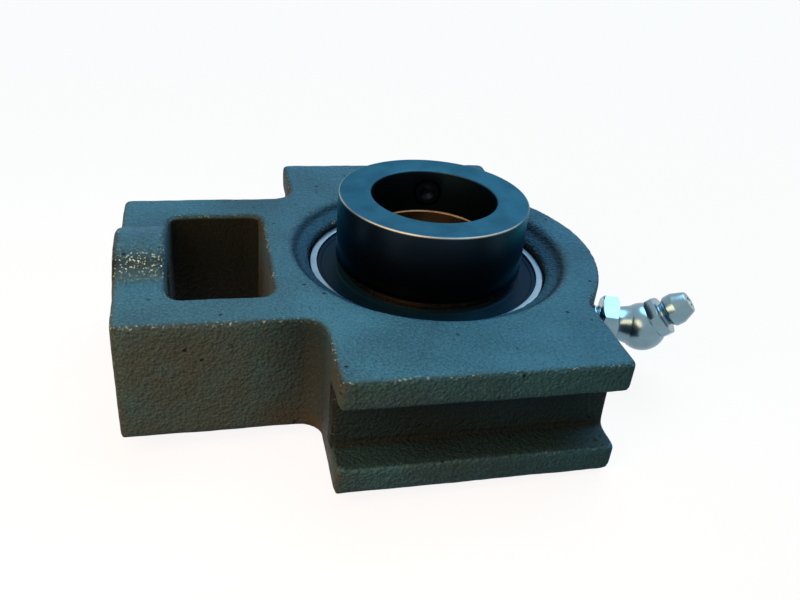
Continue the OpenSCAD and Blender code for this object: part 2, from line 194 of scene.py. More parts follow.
@dataclass(frozen=True)
class CastEnamel(Finish):
    """Sand-cast grey iron under one coat of enamel.

    The sand leaves a grit that the paint only half fills. So the eye sees a dull gloss broken by fine grain
    and small pits, and pale and ochre specks in clusters along edges, partly where the coat is rubbed through
    and partly painted glints of the warm lamp. Brown dust on the sides also paints the warm lamp's light,
    painted shade darkens creases, corners, grooves, the window and the lines under edges, and painted shade
    darkens the recess round the insert.
    """

    coat: str = "#386b82"
    shade_coat: str = "#20485a"
    # Brown of dust, which also paints the warm lamp's light on upright faces, most towards the screw end
    dust: str = "#4d4331"
    # Ochre of the rubbed-through coat; its specks also stand for painted glints of the warm lamp
    rubbed_and_glint: str = "#6e7046"
    bare_and_glint: str = "#c0dad6"
    # Colour of the painted shade in creases, corners, grooves, the window and under edges
    painted_shade_colour: str = "#161a16"
    # Dark blue painted shade on the recess floor round the insert, where the collar hides the light
    painted_recess_colour: str = "#0c3a54"
    pit: str = "#182426"
    sand_mm: float = 0.58
    grit_mm: float = 0.5
    lump_mm: float = 1.0
    cloud_mm: float = 17.0
    pit_mm: float = 4.2
    speck_mm: float = 0.5
    cluster_mm: float = 5.0
    smooth: float = 0.48
    rough: float = 0.68
    gloss: float = 0.06
    relief_mm: float = 0.3
    grit_share: float = 1.6
    sand_share: float = -0.7
    sand_smoothness: float = 0.6
    least_dust: float = 0.36

    def surface(self, tree: NodeTree, where: NodeSocket) -> dict[str, Any]:
        """Builds grain, pits, specks and the layers over the coat, painted light and shade among them."""
        part: dict[str, NodeSocket] = {}
        noises = {
            "grit": (self.grit_mm, 3.0, 0.6),
            "lump": (self.lump_mm, 2.0, 0.5),
            "cloud": (self.cloud_mm, 4.0, 0.5),
            "speck": (self.speck_mm, 2.0, 0.5),
            "cluster": (self.cluster_mm, 3.0, 0.5),
        }
        for name, (size, detail, roughness) in noises.items():
            inputs = {"Vector": where, "Scale": per_metre(size), "Detail": detail, "Roughness": roughness}
            part[name] = add_node(tree, "ShaderNodeTexNoise", inputs).outputs["Fac"]
        cells = {
            "pit": (self.pit_mm, "F1", {}),
            "sand": (self.sand_mm, "SMOOTH_F1", {"Smoothness": self.sand_smoothness}),
        }
        for name, (size, feature, more) in cells.items():
            inputs = {"Vector": where, "Scale": per_metre(size), **more}
            part[name] = add_node(tree, "ShaderNodeTexVoronoi", inputs, feature=feature).outputs["Distance"]
        for mark in ("wear_and_glint", "painted_glint_band", "dust_and_warm_light", "painted_shade", "painted_recess_shade"):
            part[mark] = add_node(tree, "ShaderNodeAttribute", attribute_name=mark).outputs["Fac"]
        sums = {"mottle": ("grit", self.grit_share, "cloud"), "grain": ("sand", self.sand_share, "lump")}
        for name, (first, share, last) in sums.items():
            inputs = {0: part[first], 1: share, 2: part[last]}
            part[name] = add_node(tree, "ShaderNodeMath", inputs, operation="MULTIPLY_ADD").outputs[0]
        ramps = {
            "tone": ("mottle", 1.0, 1.6, 0.0, 1.0),
            "pits": ("pit", 0.045, 0.10, 1.0, 0.0),
            "specks": ("speck", 0.56, 0.63, 0.0, 1.0),
            "glints": ("speck", 0.60, 0.67, 0.0, 1.0),
            "clusters": ("cluster", 0.40, 0.55, 0.0, 1.0),
            "settled": ("cloud", 0.35, 0.65, 1.0, self.least_dust),
            "blur": ("lump", 0.3, 0.7, self.smooth, self.rough),
        }
        for name, (source, *span) in ramps.items():
            inputs = dict(zip(RAMP, (part[source], *span)))
            part[name] = add_node(tree, "ShaderNodeMapRange", inputs).outputs["Result"]
        pairs = {
            "wear_and_painted_light": ("wear_and_glint", "MULTIPLY", "clusters"),
            "speck_zone": ("wear_and_painted_light", "MAXIMUM", "painted_glint_band"),
            "rubbed_and_glint": ("speck_zone", "MULTIPLY", "specks"),
            "dust": ("dust_and_warm_light", "MULTIPLY", "settled"),
            "relief": ("grain", "SUBTRACT", "pits"),
        }
        for name, (first, operation, last) in pairs.items():
            inputs = {0: part[first], 1: part[last]}
            part[name] = add_node(tree, "ShaderNodeMath", inputs, operation=operation).outputs[0]
        # Specks: ochre rubbed-through coat and pale painted glints of the warm lamp
        inputs = {0: part["glints"], 6: linear(self.rubbed_and_glint), 7: linear(self.bare_and_glint)}
        speck_colour = add_node(tree, "ShaderNodeMix", inputs, data_type="RGBA").outputs[2]
        # Layers over the mottled coat: dust with painted warm light, painted recess shade, painted shade,
        # pits, and specks with painted glints
        layers = {
            "tone": linear(self.coat),
            "dust": linear(self.dust),
            "painted_recess_shade": linear(self.painted_recess_colour),
            "painted_shade": linear(self.painted_shade_colour),
            "pits": linear(self.pit),
            "rubbed_and_glint": speck_colour,
        }
        colour: Any = linear(self.shade_coat)
        for share, over in layers.items():
            inputs = {0: part[share], 6: colour, 7: over}
            colour = add_node(tree, "ShaderNodeMix", inputs, data_type="RGBA").outputs[2]
        inputs = {"Height": part["relief"], "Strength": 1.0, "Distance": self.relief_mm * MM}
        return {
            "Base Color": colour,
            "Roughness": part["blur"],
            "Specular IOR Level": self.gloss,
            "Normal": add_node(tree, "ShaderNodeBump", inputs).outputs["Normal"],
        }


@dataclass(frozen=True)
class TurnedMetal(Finish):
    """Turned or ground metal with fine tool lines.

    The real lines are about 0.1 mm apart, too fine to show. They are drawn far coarser, as a soft streak.
    """

    bright: str
    dull: str
    smooth: float
    rough: float
    lines: Turned = Turned.ON_THE_FACE
    line_mm: float = 2.2
    cloud_mm: float = 5.0
    line_depth: float = 0.1
    # Colour of rubbed edges, which also paints the warm lamp's highlight on them
    worn_and_glint: str = "#a8a296"
    # Near black painted on the marked sides, for the dark surroundings that they mirror
    wear_and_painted_light: str = "#141210"
    polish: float = 0.28
    edge_tint: str = WHITE
    relief_mm: float = 0.05

    def surface(self, tree: NodeTree, where: NodeSocket) -> dict[str, Any]:
        """Builds tool lines, dull patches, the painted dark sides and the rubbed edges with their painted
        highlight.
        """
        inputs = {"Vector": where, "Scale": per_metre(self.cloud_mm), "Detail": 5.0}
        cloud = add_node(tree, "ShaderNodeTexNoise", inputs).outputs["Fac"]
        side_shade_and_polish, rubbed_and_glint = (
            add_node(tree, "ShaderNodeAttribute", attribute_name=mark).outputs["Fac"]
            for mark in ("side_shade_and_polish", "wear_and_glint")
        )
        spread, patch = (
            add_node(tree, "ShaderNodeMapRange", dict(zip(RAMP, (cloud, *span)))).outputs["Result"]
            for span in ((0.35, 0.68, self.smooth, self.rough), (0.38, 0.62, 0.0, 1.0))
        )
        colour: Any = linear(self.bright)
        for share, over in ((patch, self.dull), (side_shade_and_polish, self.wear_and_painted_light), (rubbed_and_glint, self.worn_and_glint)):
            inputs = {0: share, 6: colour, 7: linear(over)}
            colour = add_node(tree, "ShaderNodeMix", inputs, data_type="RGBA").outputs[2]
        inputs = {0: side_shade_and_polish, 2: spread, 3: self.polish}
        blur = add_node(tree, "ShaderNodeMix", inputs, data_type="FLOAT").outputs[0]
        inputs = {
            "Vector": where,
            "Scale": per_metre(self.line_mm) * math.tau / WAVE_RADIANS,
            "Distortion": 1.5,
            "Detail": 2.0,
            "Detail Scale": 1.0,
        }
        settings = {"wave_type": self.lines.value, "bands_direction": "Z", "rings_direction": "Z"}
        line = add_node(tree, "ShaderNodeTexWave", inputs, **settings).outputs["Fac"]
        inputs = {"Height": line, "Strength": self.line_depth, "Distance": self.relief_mm * MM}
        return {
            "Base Color": colour,
            "Metallic": 1.0,
            "Roughness": blur,
            "Specular Tint": linear(self.edge_tint),
            "Normal": add_node(tree, "ShaderNodeBump", inputs).outputs["Normal"],
        }


@dataclass(frozen=True)
class MouldedRubber(Finish):
    """Nitrile rubber from a polished mould: dull black with a faint bloom of dust; the blue in both colours
    paints a sky reflection.
    """

    fresh: str = "#041624"
    bloom: str = "#0b2b42"
    grain_mm: float = 0.4
    bloom_mm: float = 7.0
    smooth: float = 0.34
    rough: float = 0.5
    gloss: float = 0.02
    relief: float = 0.12
    relief_mm: float = 0.05

    def surface(self, tree: NodeTree, where: NodeSocket) -> dict[str, Any]:
        """Builds the faint grain of the mould and the patches of bloom."""
        grain, dust = (
            add_node(
                tree, "ShaderNodeTexNoise", {"Vector": where, "Scale": per_metre(size), "Detail": detail}
            ).outputs["Fac"]
            for size, detail in ((self.grain_mm, 2.0), (self.bloom_mm, 5.0))
        )
        inputs = {0: dust, 6: linear(self.fresh), 7: linear(self.bloom)}
        tone = add_node(tree, "ShaderNodeMix", inputs, data_type="RGBA").outputs[2]
        inputs = dict(zip(RAMP, (dust, 0.3, 0.7, self.smooth, self.rough)))
        blur = add_node(tree, "ShaderNodeMapRange", inputs).outputs["Result"]
        inputs = {"Height": grain, "Strength": self.relief, "Distance": self.relief_mm * MM}
        return {
            "Base Color": tone,
            "Roughness": blur,
            "Specular IOR Level": self.gloss,
            "Normal": add_node(tree, "ShaderNodeBump", inputs).outputs["Normal"],
        }


ENAMEL = CastEnamel("sand_cast_iron_enamelled", "painted_casting")
# Bored grey iron: dull grey with graphite flecks and a coarse tool line.
BORED_IRON = TurnedMetal(
    "grey_iron_bored", "painted_casting", "#6d6f70", "#4c4e50", 0.35, 0.55, Turned.ROUND_THE_AXIS
)
# Ground bearing steel: bright, with a narrow blur round the axis; the blue in its base colour paints a sky
# reflection.
GROUND_STEEL = TurnedMetal("bearing_steel_ground", "ring_steel", "#7895ab", "#627d92", 0.22, 0.36)
# Ground bearing steel under preserving oil: a brown film dulls the shaft bore, and its brown also paints the
# warm reflection in the bore.
OILED_STEEL_WARM_REFLECTION = TurnedMetal(
    "bearing_steel_oiled_warm_reflection", "ring_steel", "#957f62", "#6d5a44", 0.2, 0.36, Turned.ROUND_THE_AXIS
)
# Lapped bearing balls: a near mirror.
LAPPED_STEEL = TurnedMetal("bearing_steel_lapped", "ball_steel", "#e2e5e8", "#cfd4d8", 0.05, 0.10)
# Pressed low-carbon sheet: dull silver with rolling marks.
PRESSED_SHEET = TurnedMetal("steel_sheet_pressed", "cage_sheet", "#b3b1aa", "#8e8d88", 0.3, 0.48)
# Drawn spring wire: dull grey with a faint draw line.
DRAWN_WIRE = TurnedMetal("spring_steel_drawn", "ring_steel", "#a7a9a8", "#868887", 0.25, 0.4)
# Oiled black oxide on turned steel: near black. Its blue base colour and specular tint paint a sky reflection
# on the top, its sides are painted darker, and its rubbed edges carry a painted highlight.
BLACK_OXIDE = TurnedMetal(
    "steel_black_oxide_oiled",
    "black_oxide",
    "#264558",
    "#203d4f",
    0.5,
    0.58,
    line_depth=0.06,
    worn_and_glint="#d2c8b2",
    edge_tint="#b8ecff",
)
# Dry black oxide on a rolled thread: a dull near black.
DRY_OXIDE = TurnedMetal("steel_black_oxide_dry", "black_oxide", "#11181d", "#0b1014", 0.4, 0.55)
# Bright zinc plate under a thin passivation: a silver that blurs a little in patches; its blue tint is partly
# the passivation and partly a painted sky reflection.
ZINC_PLATE = TurnedMetal("steel_zinc_plated", "zinc_plate", "#7593a1", "#6f8994", 0.2, 0.3, line_depth=0.15)
RUBBER = MouldedRubber("nitrile_rubber_moulded", "seal_rubber")


# Meshes


def rotated(angle: float, axis: str = "Z") -> Matrix:
    """Turns by an angle in degrees about an axis."""
    return Matrix.Rotation(math.radians(angle), 4, axis)


def moved(x: float, z: float) -> Matrix:
    """Moves along X and Z by lengths in millimetres."""
    return Matrix.Translation((x * MM, 0, z * MM))


def disc(radius: float, foot: float, top: float) -> Outline:
    """Gives the outline of a solid disc from its radius and its two heights."""
    return [(0, foot), (radius, foot), (radius, top), (0, top)]


def rounded(corners: Sequence[Corner], steps: int = 5) -> Outline:
    """Rounds the corners of a closed outline.

    Args:
        corners: Distance from the axis, height and corner radius of each corner.
        steps: Spans on each rounded corner.

    Returns:
        The points of the outline.
    """
    points: Outline = []
    for i, (r, z, radius) in enumerate(corners):
        here = Vector((r, z))
        back = Vector(corners[i - 1][:2]) - here
        ahead = Vector(corners[(i + 1) % len(corners)][:2]) - here
        if radius == 0:
            points.append((r, z))
            continue
        reach = min(radius / math.tan(back.angle(ahead) / 2), 0.48 * back.length, 0.48 * ahead.length)
        start, end = here + back.normalized() * reach, here + ahead.normalized() * reach
        for k in range(steps + 1):
            t = k / steps
            on = start * (1 - t) ** 2 + here * 2 * t * (1 - t) + end * t**2
            points.append((on.x, on.y))
    return points


def arc(centre: tuple[float, float], radius: float, start: float, end: float, steps: int) -> Outline:
    """Gives points on an arc of an outline.

    Args:
        centre: Distance from the axis and height of the arc's centre.
        radius: Radius of the arc.
        start: First angle in degrees.
        end: Last angle in degrees.
        steps: Spans along the arc.

    Returns:
        The points of the arc.
    """
    angles = (math.radians(start + (end - start) * k / steps) for k in range(steps + 1))
    return [(centre[0] + radius * math.cos(a), centre[1] + radius * math.sin(a)) for a in angles]


def tidy_mesh(points: Sequence[Sequence[float]], faces: Sequence[Sequence[int]]) -> Mesh:
    """Makes a closed mesh with its faces turned outwards.

    Args:
        points: The points.
        faces: Point numbers of each face.

    Returns:
        The mesh, in metres.
    """
    mesh = bpy.data.meshes.new("shape")
    mesh.from_pydata([tuple(x * MM for x in p) for p in points], [], faces)
    work = bmesh.new()
    work.from_mesh(mesh)
    bmesh.ops.remove_doubles(work, verts=work.verts, dist=WELD)
    bmesh.ops.dissolve_degenerate(work, edges=work.edges, dist=WELD / 10)
    bmesh.ops.recalc_face_normals(work, faces=work.faces)
    work.to_mesh(mesh)
    work.free()
    return mesh


def lathe(outline: Outline, turns: int = 160) -> Mesh:
    """Spins a closed outline about the Z axis.

    Args:
        outline: Distances from the axis and heights.
        turns: Spans round the axis.

    Returns:
        The turned mesh.
    """
    count = len(outline)
    angles = [math.tau * k / turns for k in range(turns)]
    points = [(r * math.cos(a), r * math.sin(a), z) for a in angles for r, z in outline]
    faces = []
    for k in range(turns):
        here, beside = k * count, (k + 1) % turns * count
        for i in range(count):
            j = (i + 1) % count
            faces.append((here + i, beside + i, beside + j, here + j))
    return tidy_mesh(points, faces)


def bar(points: Sequence[Sequence[float]], around: int) -> Mesh:
    """Makes a bar with closed ends from rings of points.

    Args:
        points: The points, ring after ring.
        around: Points on each ring.

    Returns:
        The mesh of the bar.
    """
    last = len(points) - around
    faces: list[Sequence[int]] = [range(around), range(last, len(points))]
    for ring in range(0, last, around):
        for k in range(around):
            a, b = ring + k, ring + (k + 1) % around
            faces.append((a, b, b + around, a + around))
    return tidy_mesh(points, faces)


def coil(radius: float, wire: float, foot: float, top: float, turns: int) -> Mesh:
    """Winds a wire about the Z axis.

    Args:
        radius: Radius of the coil to the middle of the wire.
        wire: Radius of the wire.
        foot: Height of the first end.
        top: Height of the last end.
        turns: Turns of the coil.

    Returns:
        The mesh of the coil.
    """
    rows, around = 24 * turns, 10
    points: list[tuple[float, float, float]] = []
    for j in range(rows + 1):
        turn, z = math.tau * turns * j / rows, foot + (top - foot) * j / rows
        for k in range(around):
            a = math.tau * k / around
            r = radius + wire * math.cos(a)
            points.append((r * math.cos(turn), r * math.sin(turn), z + wire * math.sin(a)))
    return bar(points, around)


def threaded_rod(radius: float, pitch: float, length: float, depth: float) -> Mesh:
    """Makes a rod with a helical thread, standing on the origin.

    Args:
        radius: Outside radius of the thread.
        pitch: Rise of one turn.
        length: Length of the rod.
        depth: Depth of the thread.

    Returns:
        The threaded mesh.
    """
    turns, rows = 48, round(length / pitch * 10)
    points: list[tuple[float, float, float]] = []
    for j in range(rows + 1):
        z = length * j / rows
        fade = min(1.0, z / pitch, (length - z) / pitch)
        for k in range(turns):
            phase = (z / pitch - k / turns) % 1.0
            crest = min(1.0, 1.3 * abs(2 * phase - 1)) * fade
            r, a = radius - depth * (1 - crest), math.tau * k / turns
            points.append((r * math.cos(a), r * math.sin(a), z))
    return bar(points, turns)


def hexagon(flats: float, z0: float, z1: float, chamfer: float) -> Mesh:
    """Makes a hexagon whose corners are turned off at both ends.

    Args:
        flats: Width across the flats.
        z0: Lower face.
        z1: Upper face.
        chamfer: Height of the turned corners.

    Returns:
        The mesh of the hexagon.
    """
    r = flats / math.sqrt(3)
    ring = [(r * math.cos(math.tau * k / 6), r * math.sin(math.tau * k / 6)) for k in range(6)]
    points = [(x, y, z) for z in (z0, z1) for x, y in ring]
    nut = piece_of("hexagon", bar(points, len(ring)))
    cone = math.sqrt(3) * chamfer
    barrel = [(0, z0), (r - cone, z0), (r, z0 + chamfer), (r, z1 - chamfer), (r - cone, z1), (0, z1)]
    work_on(nut, Cut.KEEP_COMMON, lathe(barrel, 120))
    mesh = nut.data
    bpy.data.objects.remove(nut)
    return mesh


def piece_of(name: str, mesh: Mesh, place: Matrix | None = None) -> Object:
    """Makes an object of a mesh, with its place kept in the mesh.

    Args:
        name: Name of the object.
        mesh: The mesh to show.
        place: Where the mesh goes in the frame of the CAD model.

    Returns:
        The object, linked to the scene.
    """
    if place is not None:
        mesh.transform(place)
    mesh.name = name
    return show(name, mesh)


def settle(piece: Object) -> None:
    """Fixes the modifiers of a piece into its mesh."""
    ready = piece.evaluated_get(bpy.context.evaluated_depsgraph_get())
    mesh = bpy.data.meshes.new_from_object(ready)
    piece.modifiers.clear()
    piece.data = mesh


def work_on(
    piece: Object, cut: Cut, mesh: Mesh, place: Matrix | None = None, finish: Finish | None = None
) -> None:
    """Cuts or joins a piece with another mesh, which is used up.

    Args:
        piece: The object that is worked on.
        cut: What the other mesh does.
        mesh: The other mesh.
        place: Where the other mesh goes in the frame of the CAD model.
        finish: Finish of the faces that come from the other mesh, where it isn't the piece's own.
    """
    tool = piece_of("tool", mesh, place)
    if finish:
        mesh.materials.append(finish.material())
    step = piece.modifiers.new("work", "BOOLEAN")
    step.operation, step.solver, step.object = cut.value, "MANIFOLD", tool
    step.material_mode = "TRANSFER"
    settle(piece)
    bpy.data.objects.remove(tool)


def soften_edges(piece: Object, width: float, sharp: float = 24.0) -> None:
    """Breaks the edges of a piece with a small round.

    Args:
        piece: The piece.
        width: Width of the round.
        sharp: Least angle of an edge that is broken, in degrees.
    """
    step = piece.modifiers.new("edges", "BEVEL")
    step.width, step.segments, step.limit_method = width * MM, 2, "ANGLE"
    step.angle_limit = math.radians(sharp)
    step.use_clamp_overlap = True
    settle(piece)


def shade_round(piece: Object, sharp: float = 38.0) -> None:
    """Shades a piece smooth, apart from edges over an angle in degrees."""
    piece.data.shade_smooth()
    piece.data.set_sharp_from_angle(angle=math.radians(sharp))


def points_of(mesh: Mesh) -> Array:
    """Gives the points of a mesh in metres, one to a row."""
    points = np.empty(len(mesh.vertices) * 3)
    mesh.vertices.foreach_get("co", points)
    return points.reshape(-1, 3)


def store_mark(mesh: Mesh, name: str, values: Array) -> None:
    """Stores a mark from 0 to 1 on every point of a mesh, which finishes read by its name.

    Args:
        mesh: The mesh.
        name: Name of the mark.
        values: One value for each point.
    """
    kept = np.clip(values, 0, 1).astype(np.float32)
    mesh.attributes.new(name, "FLOAT", "POINT").data.foreach_set("value", kept)


def dress(piece: Object, finish: Finish, body: str, *nodes: str) -> None:
    """Gives a piece its finish and its body, and lets it stand for CAD nodes.

    Args:
        piece: The piece.
        finish: The finish of its whole surface, or of its first slot.
        body: The CAD body that it rides on.
        *nodes: CAD nodes that it replaces.
    """
    if piece.data.materials:
        piece.data.materials[0] = finish.material()
    else:
        piece.data.materials.append(finish.material())
    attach(piece, body)
    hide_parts(*nodes)
    LOG.info("%s: %d faces in %s", piece.name, len(piece.data.polygons), finish.name)


def dress_node(node: str, finish: Finish) -> None:
    """Gives a CAD node, whose shape stays, its finish.

    Args:
        node: Name of the CAD node.
        finish: The finish of its whole surface.
    """
    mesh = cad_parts[node].data
    mesh.materials.clear()
    mesh.materials.append(finish.material())
    LOG.info("%s: CAD shape in %s", node, finish.name)


# Sub-assemblies


@dataclass
class HousingCasting:
    """The cast housing with rounded cast edges, a bored seat and a notch for the locating pin."""

    voxel: float = 0.535
    rounding_passes: int = 5
    seat_r: float = 26.03
    notch_far: float = -27.9
    notch_near: float = -20.0
    notch_half: float = 1.27
    notch_top: float = 2.6
    half_t: float = 12.0
    lug_end: float = 61.0
    lug_half: float = 25.5
    wing_half: float = 25.5
    flange_half: float = 44.5
    round_r: float = 35.0
    foot_round: float = 1.6
    heel_round: float = 3.6
    heel_y: float = 30.0
    corner_spread: float = 6.5
    corner_away: float = 4.0
    boss_half: float = 10.6
    boss_fade: float = 4.0
    boss_r: float = 16.0
    boss_skin: float = 0.8
    boss_x: float = -52.6
    glint_angle: float = 27.0
    glint_spread: float = 7.5
    edge_from: float = 0.05
    edge_span: float = 0.2
    crease_shade_span: float = 0.25
    dust_light_from: float = 10.0
    dust_light_run: float = 50.0
    window_far: float = -32.4
    window_half: float = 17.6
    window_shade: float = 2.0
    mouth_r: float = 28.4
    mouth_fade: float = 0.8
    recess_low: float = 8.0
    recess_from: float = 0.05
    recess_fade: float = 0.5
    ring_at: float = 27.3
    ring_w: float = 0.45
    groove_y: float = 36.0
    groove_half: float = 6.2
    skin: float = 0.4
    edge_zone: float = 1.0
    wave_mm: float = 7.0
    wave_depth: float = 0.10
    grain_mm: float = 2.2
    grain_depth: float = 0.05

    def build(self) -> None:
        """Builds the casting from its CAD node and dresses it."""
        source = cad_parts["housing"].data.copy()
        cast = piece_of("housing_casting", source)
        work = bmesh.new()
        work.from_mesh(source)
        bmesh.ops.remove_doubles(work, verts=work.verts, dist=WELD)
        work.to_mesh(source)
        work.free()
        step = cast.modifiers.new("grid", "REMESH")
        step.mode, step.voxel_size, step.adaptivity = "VOXEL", self.voxel * MM, 0.0
        settle(cast)
        self.weather(cast.data)
        cast.data.materials.clear()
        cast.data.materials.append(ENAMEL.material())
        ball = [(0, -self.seat_r), *arc((0, 0), self.seat_r, -89, 89, 90), (0, self.seat_r)]
        work_on(cast, Cut.TAKE_AWAY, lathe(ball, 180), finish=BORED_IRON)
        plan = ((self.notch_far, -1), (self.notch_near, -1), (self.notch_near, 1), (self.notch_far, 1))
        heights = (-self.half_t - OVER, self.notch_top)
        notch = [(x, side * self.notch_half, z) for z in heights for x, side in plan]
        work_on(cast, Cut.TAKE_AWAY, bar(notch, len(plan)), finish=BORED_IRON)
        shade_round(cast, 50)
        dress(cast, ENAMEL, "housing", "housing")

    def plan_depth(self, x: Array, y: Array) -> Array:
        """Measures how far points lie inside the outline of the casting, seen from above.

        Args:
            x: First coordinates.
            y: Second coordinates.

        Returns:
            The depth of each point, negative outside.
        """
        lug = np.minimum.reduce([x + self.lug_end, self.lug_half - np.abs(y), -x])
        wing = np.minimum(self.wing_half - np.abs(x), self.flange_half - np.abs(y))
        return np.maximum.reduce([lug, wing, self.round_r - np.hypot(x, y)])

    def pull(self, out: Array, down: Array, radius: float) -> Array:
        """Works out how far points beyond a round are drawn back to it.

        Args:
            out: How far each point lies past the round's centre sideways.
            down: How far it lies past the centre downwards.
            radius: Radius of the round.

        Returns:
            The share of out and down by which each point goes back.
        """
        share = 1 - np.minimum(1, radius / np.maximum(np.hypot(out, down), TINY))
        return share * ((out > 0) & (down > 0))

    def ease_foot(self, points: Array) -> Array:
        """Rounds the lower outer edges, clear of the screw boss.

        Args:
            points: Points on the casting.

        Returns:
            The moved points.
        """
        x, y, z = points.T
        reach = 0.05
        slope_x = self.plan_depth(x + reach, y) - self.plan_depth(x - reach, y)
        slope_y = self.plan_depth(x, y + reach) - self.plan_depth(x, y - reach)
        steep = np.maximum(np.hypot(slope_x, slope_y), TINY)
        out = np.clip(self.foot_round - np.maximum(self.plan_depth(x, y), 0), 0, None)
        down = np.clip(self.foot_round - (z + self.half_t), 0, None)
        pull = self.pull(out, down, self.foot_round)
        pull *= np.where(x < self.boss_x, np.clip((np.abs(y) - self.boss_half) / self.boss_fade, 0, 1), 1)
        return points + (pull * np.array([out * slope_x / steep, out * slope_y / steep, down])).T

    def ease_heel(self, points: Array) -> Array:
        """Rounds the far ends of the lower guide flanges, where the pattern was drawn out of the sand.

        Args:
            points: Points on the casting.

        Returns:
            The moved points.
        """
        x, y, z = points.T
        out = np.clip(self.heel_round - (self.wing_half - x), 0, None) * (np.abs(y) > self.heel_y)
        down = np.clip(self.heel_round - (z + self.half_t), 0, None)
        pull = self.pull(out, down, self.heel_round)
        return points + (pull * np.array([-out, np.zeros_like(out), down])).T

    def weather(self, mesh: Mesh) -> None:
        """Rounds the edges as casting does, marks the coat and makes the skin uneven.

        Args:
            mesh: The mesh of the casting, which is changed.
        """
        raw = points_of(mesh)
        count = len(raw)
        ends = np.empty(len(mesh.edges) * 2, int)
        mesh.edges.foreach_get("vertices", ends)
        a, b = ends.reshape(-1, 2).T
        degree = np.bincount(ends, minlength=count)[:, None]
        soft = raw.copy()
        for _ in range(self.rounding_passes):
            total = np.zeros_like(soft)
            for axis in range(3):
                total[:, axis] += np.bincount(a, soft[b, axis], count) + np.bincount(b, soft[a, axis], count)
            soft += 0.5 * (total / degree - soft)
        facing = self.set_points(mesh, soft)
        stand = ((raw - soft) * facing).sum(1) / MM
        for name, values in self.marks(soft / MM, facing, stand).items():
            store_mark(mesh, name, values)
        soft = self.ease_heel(self.ease_foot(soft / MM)) * MM
        normal = self.set_points(mesh, soft)
        lift = np.array(
            [
                self.wave_depth * noise.noise(Vector(p) / self.wave_mm)
                + self.grain_depth * noise.noise(Vector(p) / self.grain_mm)
                for p in soft / MM
            ]
        )
        self.set_points(mesh, soft + normal * lift[:, None] * MM)

    def marks(self, points: Array, facing: Array, stand: Array) -> dict[str, Array]:
        """Finds the rubbed coat, the dust, and where glints, warm light and shade are painted.

        The plain shares in the sums say how much each place adds to a mark.

        Args:
            points: Points on the casting.
            facing: The normal at each point.
            stand: How far rounding took each point inwards, negative in a corner.

        Returns:
            Values for each point under the name of their mark.
        """
        x, y, z = points.T
        aside, height, round_way = np.abs(y), np.abs(z), np.hypot(x, y)
        # Painted glints: a band of specks on the front shoulder of the boss, where the warm lamp glints, with
        # painted shade among them
        turn = np.degrees(np.arctan2(-y, z))
        shoulder = np.exp(-(((turn - self.glint_angle) / self.glint_spread) ** 2))
        shoulder *= (x < self.boss_x) & (np.hypot(y, z) > self.boss_r - self.boss_skin)
        # Edges that rounding took in: rubbed-through coat with painted glints, and a painted shade line under
        # them
        edge_mask = np.clip((stand - self.edge_from) / self.edge_span, 0, 1)
        edge_mask *= np.where(z < self.edge_zone - self.groove_half, 0.15, 1)
        inside = (x > self.boss_x) & (x < self.window_far) & (aside < self.window_half)
        inside &= height < self.half_t - self.edge_zone
        low = np.clip((self.half_t - self.recess_from - height) / self.recess_fade, 0, 1)
        low *= height > self.recess_low
        # Painted shade on the recess floor and in the ring gap round the insert, where the collar hides the
        # light
        ring = np.exp(-(((round_way - self.ring_at) / self.ring_w) ** 2)) * low
        painted_recess_shade = np.clip((self.mouth_r - round_way) / self.mouth_fade, 0, 1) * low
        upright = np.clip(1.3 * np.hypot(facing[:, 0], facing[:, 1]) - 0.3, 0, 1)
        ahead = np.clip(-facing[:, 0], 0, 1)
        # Dust and painted warm light: upright faces get more towards the screw end and on faces turned to -X,
        # where the warm lamp falls; the window's right wall gets all of it
        along = np.clip((self.dust_light_from - x) / self.dust_light_run, 0, 1)
        dust_and_warm_light = (0.2 + 0.8 * upright) * (0.2 + 0.8 * along)
        dust_and_warm_light *= 0.8 - 0.3 * upright * z / self.half_t
        dust_and_warm_light += 0.4 * inside + 0.6 * ahead
        from_corner = np.hypot(x + self.wing_half + self.corner_away, aside - self.lug_half)
        corner = np.exp(-((from_corner / self.corner_spread) ** 2)) * upright * (0.6 + 0.4 * z / self.half_t)
        groove = (aside > self.groove_y) & (aside < self.flange_half - self.skin)
        groove &= height < self.groove_half
        # Painted shade: creases, the window's far wall, the fillet corner, the line under edges, the boss
        # shoulder, the ring gap and the grooves are darkened; faces towards -X are darker outside the window
        # and lighter inside it
        painted_shade = 0.5 * np.clip(-stand / self.crease_shade_span, 0, 1) + ahead * np.where(inside, -0.15, 0.25)
        painted_shade += inside * (0.15 + 0.85 * (y > self.window_half - self.window_shade))
        painted_shade += 0.75 * corner + 0.6 * edge_mask + 0.65 * shoulder + 0.45 * ring + 0.75 * groove
        return {
            "wear_and_glint": 0.7 * edge_mask,
            "painted_glint_band": shoulder,
            "dust_and_warm_light": np.where(inside & (ahead > 0.5), 1, 0.7 * dust_and_warm_light),
            "painted_shade": painted_shade,
            "painted_recess_shade": 0.7 * painted_recess_shade + 0.3 * ring,
        }

    def set_points(self, mesh: Mesh, points: Array) -> Array:
        """Moves the points of a mesh.

        Args:
            mesh: The mesh, which is changed.
            points: The new points in metres.

        Returns:
            The normal at each point.
        """
        mesh.vertices.foreach_set("co", points.ravel())
        mesh.update()
        normal = np.empty(points.size, np.float32)
        mesh.vertices.foreach_get("normal", normal)
        return normal.reshape(-1, 3)


